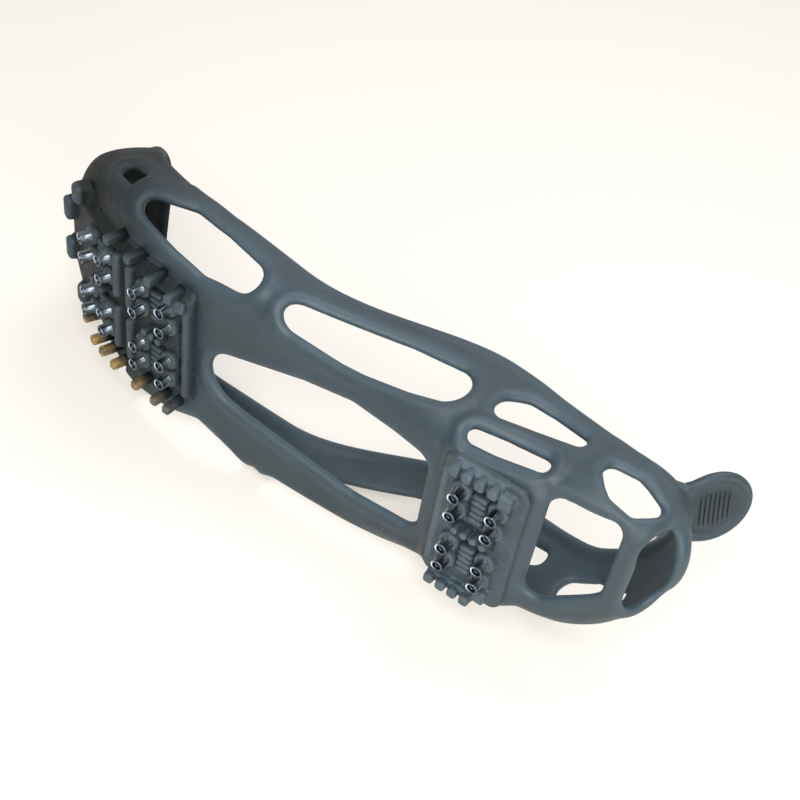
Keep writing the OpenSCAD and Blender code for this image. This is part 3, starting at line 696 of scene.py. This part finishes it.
lug_at, lug_across, lug_size, lug_h, lug_soft = 15.5, 10.0, (2.6, 5.0, 1.6), 6.9, 1.8
shoulder_at, shoulder_across, shoulder_size = 4.0, 25.0, (3.2, 4.4, 2.2)
shoulder_h, shoulder_soft = 7.0, 3.0


def on_roll(p, middle):
    """Place on a rolled tread as [along, across, below the skin]."""
    dx, dz = p[:, 0] - spring_x, roll_z - p[:, 2]
    c, s = math.cos(roll_front), math.sin(roll_front)
    angle = np.arctan2(dx, dz)
    flat = angle > roll_front
    arc = np.where(flat, roll_front * tip_r + dx * c - dz * s, angle * tip_r)
    return arc - middle, p[:, 1], np.where(flat, dx * s + dz * c, np.hypot(dx, dz)) - toe_spring_r


def fore_relief(u, v, bar_u):
    """Height of a fore tread below the skin, with a bar at bar_u on each side of the middle line."""
    top = fore_edge_t + fore_plate_t * slope(np.abs(v) - fore_edge_at, fore_edge_flank)
    top = top - fore_pocket * ladder_pocket(u, v)
    bar = block(u - bar_u, np.abs(v) - bar_across, *bar_size)
    return top + bar_h * slope(bar, bar_flank)


def ball_plate(p):
    """Distance out of the ball tread's plate, with the lip at its back and a wedge on its inner side."""
    u, v, n = on_roll(p, ball_mid)
    top = fore_relief(u, v, ball_bar)
    splayed = lip_half_w + lip_splay * (u + lip_back)
    lip = block(u + lip_back, v + lip_aside, lip_half_len, splayed, lip_r)
    groove = block(u + groove_back, v + lip_aside, *groove_size)
    top = top + lip_h * slope(lip, lip_flank) - groove_h * slope(groove, groove_flank)
    plate = soft_max(n - top, block(u, v, half_fore, fore_wide / 2, fore_corner_r), fore_edge)
    wedge = block(u + wedge_back, v - wedge_across, *wedge_size)
    wedge = soft_max(n - wedge_h + wedge_slope * (v - wedge_h_at), wedge, wedge_edge)
    return np.maximum(soft_min(plate, wedge, plate_join), -n - plate_sink)


def toe_plate(p):
    """Distance out of the toe tread's plate, with its tongue, two front lugs and two shoulders."""
    u, v, n = on_roll(p, toe_mid)
    d, w = u - half_fore, v - toe_aside
    tapered = tongue_half_w - tongue_taper * np.clip((d - taper_from) / taper_len, 0.0, 1.0)
    tongue = block(d - tongue_mid, w, tongue_half_len, tapered, tongue_r)
    outline = soft_min(block(u, v, half_fore, fore_wide / 2, fore_corner_r), tongue, tongue_join)
    plate = soft_max(n - fore_relief(u, v, toe_bar), outline, fore_edge)
    lug = soft_max(n - lug_h, block(d - lug_at, np.abs(w) - lug_across, *lug_size), lug_soft)
    shoulder = block(d - shoulder_at, np.abs(w) - shoulder_across, *shoulder_size)
    shoulder = soft_max(n - shoulder_h, shoulder, shoulder_soft)
    raised = soft_min(soft_min(plate, lug, lug_soft), shoulder, shoulder_soft)
    return np.maximum(raised, -n - plate_sink)


fore_step, fore_worn_from, fore_worn_len = 0.75, 3.6, 2.0
for name, form in (("ball_tread", ball_plate), ("toe_tread", toe_plate)):
    low, high = np.array(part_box(name)[0]) / mm - 2, np.array(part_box(name)[1]) / mm + 2
    points, faces = wrap(form, low, high, fore_step)
    plate = shape_piece(name + "_plate", points, faces, tread_rubber)
    keep_value(plate, "worn", ease((on_roll(points, 0.0)[2] - fore_worn_from) / fore_worn_len))
    keep_value(plate, "toe_ramp", grime_at(points, tread_toe_ramp_from))
    fit_piece(plate, "harness", [name])


def under_roll(arc, v):
    """A spot on the skin, arc mm along the roll under the toes, pointing away from the sole."""
    a = arc / tip_r
    place = (spring_x + toe_spring_r * math.sin(a), v, roll_z - toe_spring_r * math.cos(a))
    return place, (math.pi, -a, 0.0), 1.0


# Pegs along both side edges, as [along, across] from the middle of each tread
fore_mids = (ball_mid, toe_mid)
ball_pegs = [(11.3, 30.6), (0.0, 27.6), (-10.2, 25.7), (8.5, -31.2), (-2.8, -31.2), (-9.6, -31.2)]
toe_pegs = [(-12.4, 30.6), (9.6, -24.8), (2.3, -31.0), (-5.1, -31.2), (-14.1, -31.2)]
fore_peg_size = (3.5, 3.8, 9.0)
spots = [under_roll(m + u, v) for m, pegs in zip(fore_mids, (ball_pegs, toe_pegs)) for u, v in pegs]
pegs = lay_copies("fore_edge_pegs", turned("peg", peg_outline, 24, 5.0), spots, fore_peg_size,
                  tread_rubber, "harness")
# An ochre tint sits on the ends of the outer pegs, and thins out behind the toes
ochre_most, ochre_across, ochre_up, ochre_fade = 0.8, 22.0, 3.0, 5.0
ochre_from, ochre_len = 190.0, 38.0
peg_points = np.array([v.co for v in pegs.data.vertices]) / mm
ochre_share = ochre_most * ease((-ochre_across - peg_points[:, 1]) / ochre_fade)
ochre_share = ochre_share * ease((on_roll(peg_points, 0.0)[2] - ochre_up) / ochre_fade)
keep_value(pegs, "ochre_tint", ochre_share * ease((peg_points[:, 0] - heel_x - ochre_from) / ochre_len))
fore_middle_size = (3.0, 3.2, 7.5)
spots = [under_roll(m + k * middle_peg_pitch, 0.0) for m in fore_mids for k in (-1, 0, 1)]
lay_copies("fore_middle_pegs", turned("peg", peg_outline, 16), spots, fore_middle_size,
           tread_rubber, "harness")
fore_rung_size = (6.2, 2.1, 4.8)
spots = [under_roll(m, v) for m in fore_mids for v in rung_across]
lay_copies("fore_rungs", turned("rung", rung_outline, 24, 4.0, rung_bow), spots, fore_rung_size,
           tread_rubber, "harness")
spots = [under_roll(m + u, v) for m in fore_mids for u in stud_rows for v in stud_across]
lay_copies("fore_stud_bosses", turned("boss", boss_outline, 28), spots, boss_size,
           tread_rubber, "harness")


# Studs
# Eight studs in each tread, cold headed from steel wire with a flange that the rubber grips, a plain
# round shank and a cupped end whose sharp rim bites into ice.
stud_d, stud_len, stud_sides = 4.8, 10.0, 32
stud_outline = [
    (0.833, 0.02), (0.833, 0.125), (0.50, 0.13), (0.50, 0.955), (0.492, 0.975), (0.47, 0.992), (0.43, 1.0),
    (0.375, 0.998), (0.35, 0.985), (0.335, 0.96), (0.32, 0.90), (0.27, 0.86), (0.16, 0.845),
]
# Hardened steel that has lost most of its zinc: a dark polished grey that throws back a sharp glint,
# with fine rings from the die round the shank, a painted glint down the shank's side towards the toe and a
# blue-black cup.
bright_steel, t = blank_finish("zinc_plated_steel")
place = add(t, "ShaderNodeTexCoord").outputs["Object"]
# Die rings are about 0.05 mm apart, drawn at 0.4 mm so that they show.
ring_mm, stain_mm = 0.4, 2.5
along = add(t, "ShaderNodeAttribute", attribute_name="along")
cup = add(t, "ShaderNodeAttribute", attribute_name="cup")
ring_at = add(t, "ShaderNodeMath", {0: along.outputs["Fac"], 1: 1 / ring_mm}, operation="MULTIPLY")
rings = add(t, "ShaderNodeTexNoise", {"W": ring_at.outputs[0], "Scale": 1.0, "Detail": 2.0},
            noise_dimensions="1D")
stain = add(t, "ShaderNodeTexNoise", {"Vector": place, "Scale": 1 / (stain_mm * mm), "Detail": 4.0})
patch = add(t, "ShaderNodeMapRange", {"Value": stain.outputs["Fac"], "From Min": 0.45, "From Max": 0.75,
                                      "To Min": 0.0, "To Max": 0.6})
metal = add(t, "ShaderNodeMix", {0: patch.outputs[0], 6: paint("#585f65"), 7: paint("#383e44")},
            data_type="RGBA")
# Painted glint: near white on the shank's side that faces the toe.
painted_glint = add(t, "ShaderNodeAttribute", attribute_name="painted_glint")
metal = add(t, "ShaderNodeMix", {0: painted_glint.outputs["Fac"], 6: metal.outputs[2], 7: paint("#eef2f5")},
            data_type="RGBA")
colour = add(t, "ShaderNodeMix", {0: cup.outputs["Fac"], 6: metal.outputs[2], 7: paint("#2b3644")},
             data_type="RGBA")
polish = add(t, "ShaderNodeMapRange", {"Value": stain.outputs["Fac"], "From Min": 0.3, "From Max": 0.75,
                                       "To Min": 0.14, "To Max": 0.34})
relief = add(t, "ShaderNodeBump", {"Height": rings.outputs["Fac"], "Strength": 0.12, "Distance": 0.0001})
steel = add(t, "ShaderNodeBsdfPrincipled", {"Base Color": colour.outputs[2], "Roughness": polish.outputs[0],
                                            "Normal": relief.outputs[0], "Metallic": 1.0})
add(t, "ShaderNodeOutputMaterial", {"Surface": steel.outputs[0]})

# Each value holds one ring of the outline after another, and then the middles of its two ends
stud = turned("stud", stud_outline, stud_sides)
heights = np.array([z for r, z in stud_outline]) * stud_len
keep_value(stud, "along", np.append(np.repeat(heights, stud_sides), [heights[0], heights[-1]]))
in_cup = np.array([0.0] * 9 + [0.35] + [1.0] * 3)
keep_value(stud, "cup", np.append(np.repeat(in_cup, stud_sides), [0.0, 1.0]))
# Where the painted glint falls: the shank's side that faces the toe.
glint_towards_toe = np.maximum(0.0, np.cos(np.arange(stud_sides) * 2 * math.pi / stud_sides)) ** 3
on_shank = np.array([0.0] * 3 + [1.0] * 5 + [0.0] * 5)
keep_value(stud, "painted_glint", np.append(np.outer(on_shank, glint_towards_toe).ravel(), [0.0, 0.0]))
spots = [under_heel(u, v) for u in stud_rows for v in stud_across]
spots += [under_roll(m + u, v) for m in fore_mids for u in stud_rows for v in stud_across]
stud_nodes = [part + "_stud_" + str(k) for part in ("heel", "ball", "toe") for k in range(1, 9)]
lay_copies("studs", stud, spots, (stud_d, stud_d, stud_len),
           bright_steel, "harness", stud_nodes)


# Pull tab
# A round paddle moulded in one with the harness, which flexes at its straight root. It has a shallow
# recess inside a raised border, and grip ribs across both faces.
tab_out = np.array([
    -math.cos(tab_tilt) * math.cos(tab_turn),
    math.cos(tab_tilt) * math.sin(tab_turn),
    math.sin(tab_tilt),
])
tab_axis = np.array([math.sin(tab_turn), math.cos(tab_turn), 0.0])
tab_face = np.cross(tab_axis, tab_out)
tab_r, tab_mid, tab_half_t, tab_round = 15.0, 8.5, 1.6, 1.3
root_half, root_back, root_blend = 12.6, 2.0, 2.5
root_swell, swell_from, swell_len = 0.5, 1.5, 3.5
recess, recess_fade, border_w = 0.5, 1.0, 4.0
groove, groove_at, groove_w = 0.35, 2.3, 0.45


def tab_form(p):
    """Distance out of the paddle, with its swelled root, its recess and the groove in its border."""
    rel = p - hinge_at
    u, v, n = rel @ tab_out, rel @ tab_axis, rel @ tab_face
    disc = np.hypot(u - tab_mid, v) - tab_r
    root = np.maximum(np.abs(v) - root_half, np.maximum(-root_back - u, u - tab_mid))
    plan = soft_min(np.maximum(disc, -root_back - u), root, root_blend)
    half = tab_half_t - recess * ease((-disc - border_w) / recess_fade)
    half = half + root_swell * ease((swell_from - u) / swell_len)
    half = half - groove * np.exp(-(((disc + groove_at) / groove_w) ** 2))
    side, face = plan + tab_round, np.abs(n) - half + tab_round
    corner = np.hypot(np.maximum(side, 0), np.maximum(face, 0))
    return corner - tab_round + np.minimum(np.maximum(side, face), 0)


tab_step, tab_worn, tab_worn_w = 0.55, 0.7, 1.5
low = np.array(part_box("heel_pull_tab")[0]) / mm - 3
high = np.array(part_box("heel_pull_tab")[1]) / mm + 3
points, faces = wrap(tab_form, low, high, tab_step)
tab = shape_piece("pull_tab_paddle", points, faces, satin_rubber)
fit_piece(tab, None, ["heel_pull_tab"])
rel = points - hinge_at
rim_gap = np.abs(np.hypot(rel @ tab_out - tab_mid, rel @ tab_axis) - tab_r + tab_worn_w)
keep_value(tab, "edge", tab_worn * np.exp(-rim_gap / tab_worn_w))
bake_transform(tab)
rib_pitch, rib_field_r, rib_root, rib_size = 1.75, 10.5, 0.7, (15.0, 1.1, 1.0)
spots = []
for face in (1, -1):
    out = face * tab_face
    turn = Matrix((tab_axis, np.cross(out, tab_axis), out)).transposed().to_euler()
    for k in (-2.5, -1.5, -0.5, 0.5, 1.5, 2.5, 3.5):
        at = hinge_at + (tab_mid + k * rib_pitch) * tab_out + rib_root * out
        spots.append((at, tuple(turn), math.sqrt(1 - (k * rib_pitch / rib_field_r) ** 2)))
lay_copies("pull_tab_ribs", turned("rib", rung_outline, 24, 4.0), spots, rib_size,
           satin_rubber, "pull_tab")


# Board, lights and camera
# A pale board stands upright beside the cleat and takes its shadow. Three soft lamps light the cleat: one
# near the camera, one overhead and one behind the heel. The camera looks up at its underside.
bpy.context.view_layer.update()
table_y, reach = -0.052, 3.0
table_mesh = bpy.data.meshes.new("table")
table_corners = [(reach * a, table_y, reach * b) for a, b in ((-1, -1), (-1, 1), (1, 1), (1, -1))]
table_mesh.from_pydata(table_corners, [], [(0, 1, 2, 3)])
table = bpy.data.objects.new("table", table_mesh)
bpy.context.scene.collection.objects.link(table)
# Painted board: a flat warm white with no sheen. To the camera about half of it is its own glow, which
# keeps it pale, and from behind it is clear.
glow_share = 0.48
pale_board, t = blank_finish("pale_board")
path = add(t, "ShaderNodeLightPath")
facing = add(t, "ShaderNodeNewGeometry")
board = add(t, "ShaderNodeBsdfDiffuse", {"Color": paint("#fbf6ec")})
glow = add(t, "ShaderNodeEmission", {"Color": paint("#fff8ee"), "Strength": 1.0})
share = add(t, "ShaderNodeMath", {0: path.outputs["Is Camera Ray"], 1: glow_share}, operation="MULTIPLY")
front = add(t, "ShaderNodeMixShader", {0: share.outputs[0], 1: board.outputs[0], 2: glow.outputs[0]})
clear = add(t, "ShaderNodeBsdfTransparent")
surface = add(t, "ShaderNodeMixShader", {0: facing.outputs["Backfacing"], 1: front.outputs[0],
                                         2: clear.outputs[0]})
add(t, "ShaderNodeOutputMaterial", {"Surface": surface.outputs[0]})
table_mesh.materials.append(pale_board)

world = bpy.data.worlds.new("pale_room")
world.use_nodes = True
t = world.node_tree
t.nodes.clear()
path = add(t, "ShaderNodeLightPath")
seen = add(t, "ShaderNodeMath", {0: path.outputs["Is Camera Ray"], 1: path.outputs["Is Glossy Ray"]},
           operation="MAXIMUM")
seen = add(t, "ShaderNodeMath", {0: seen.outputs[0], 1: path.outputs["Is Transmission Ray"]},
           operation="MAXIMUM")
room = add(t, "ShaderNodeBackground", {"Color": paint("#f4f6fa"), "Strength": 0.35})
white = add(t, "ShaderNodeBackground", {"Color": paint("#ffffff"), "Strength": 1.0})
mixed = add(t, "ShaderNodeMixShader", {0: seen.outputs[0], 1: room.outputs[0], 2: white.outputs[0]})
add(t, "ShaderNodeOutputWorld", {"Surface": mixed.outputs[0]})
bpy.context.scene.world = world


def soft_light(name, at, towards, width, watts, code):
    """A round area lamp at one place, turned towards another."""
    lamp = bpy.data.lights.new(name, "AREA")
    lamp.shape, lamp.size = "DISK", width
    lamp.energy, lamp.color = watts, paint(code)[:3]
    holder = bpy.data.objects.new(name, lamp)
    holder.location = at
    holder.rotation_euler = (Vector(towards) - Vector(at)).to_track_quat("-Z", "Y").to_euler()
    bpy.context.scene.collection.objects.link(holder)


soft_light("key_light", (-0.14, 0.52, -0.34), (-0.03, 0.0, 0.03), 0.35, 3.4, "#ffffff")
soft_light("top_light", (-0.1, 0.8, 0.4), (-0.06, 0.0, 0.03), 0.6, 4.6, "#eef4ff")
soft_light("heel_light", (-0.5, 0.28, -0.4), (-0.12, 0.0, 0.03), 0.4, 2.6, "#ffffff")

eye = Vector((heel_x - 39.466, 337.1, -256.8)) * mm
forward = Vector((0.334, -0.706, 0.624)).normalized()
right = Vector((-0.806, 0.129, 0.578))
right = (right - right.dot(forward) * forward).normalized()
up = right.cross(forward)
camera = bpy.data.cameras.new("camera")
camera.sensor_width, camera.lens = 36.0, 58.5
viewer = bpy.data.objects.new("camera", camera)
viewer.matrix_world = Matrix((
    (right.x, up.x, -forward.x, eye.x),
    (right.y, up.y, -forward.y, eye.y),
    (right.z, up.z, -forward.z, eye.z),
    (0, 0, 0, 1),
))
bpy.context.scene.collection.objects.link(viewer)
bpy.context.scene.camera = viewer
bpy.context.scene.view_settings.view_transform = "Standard"
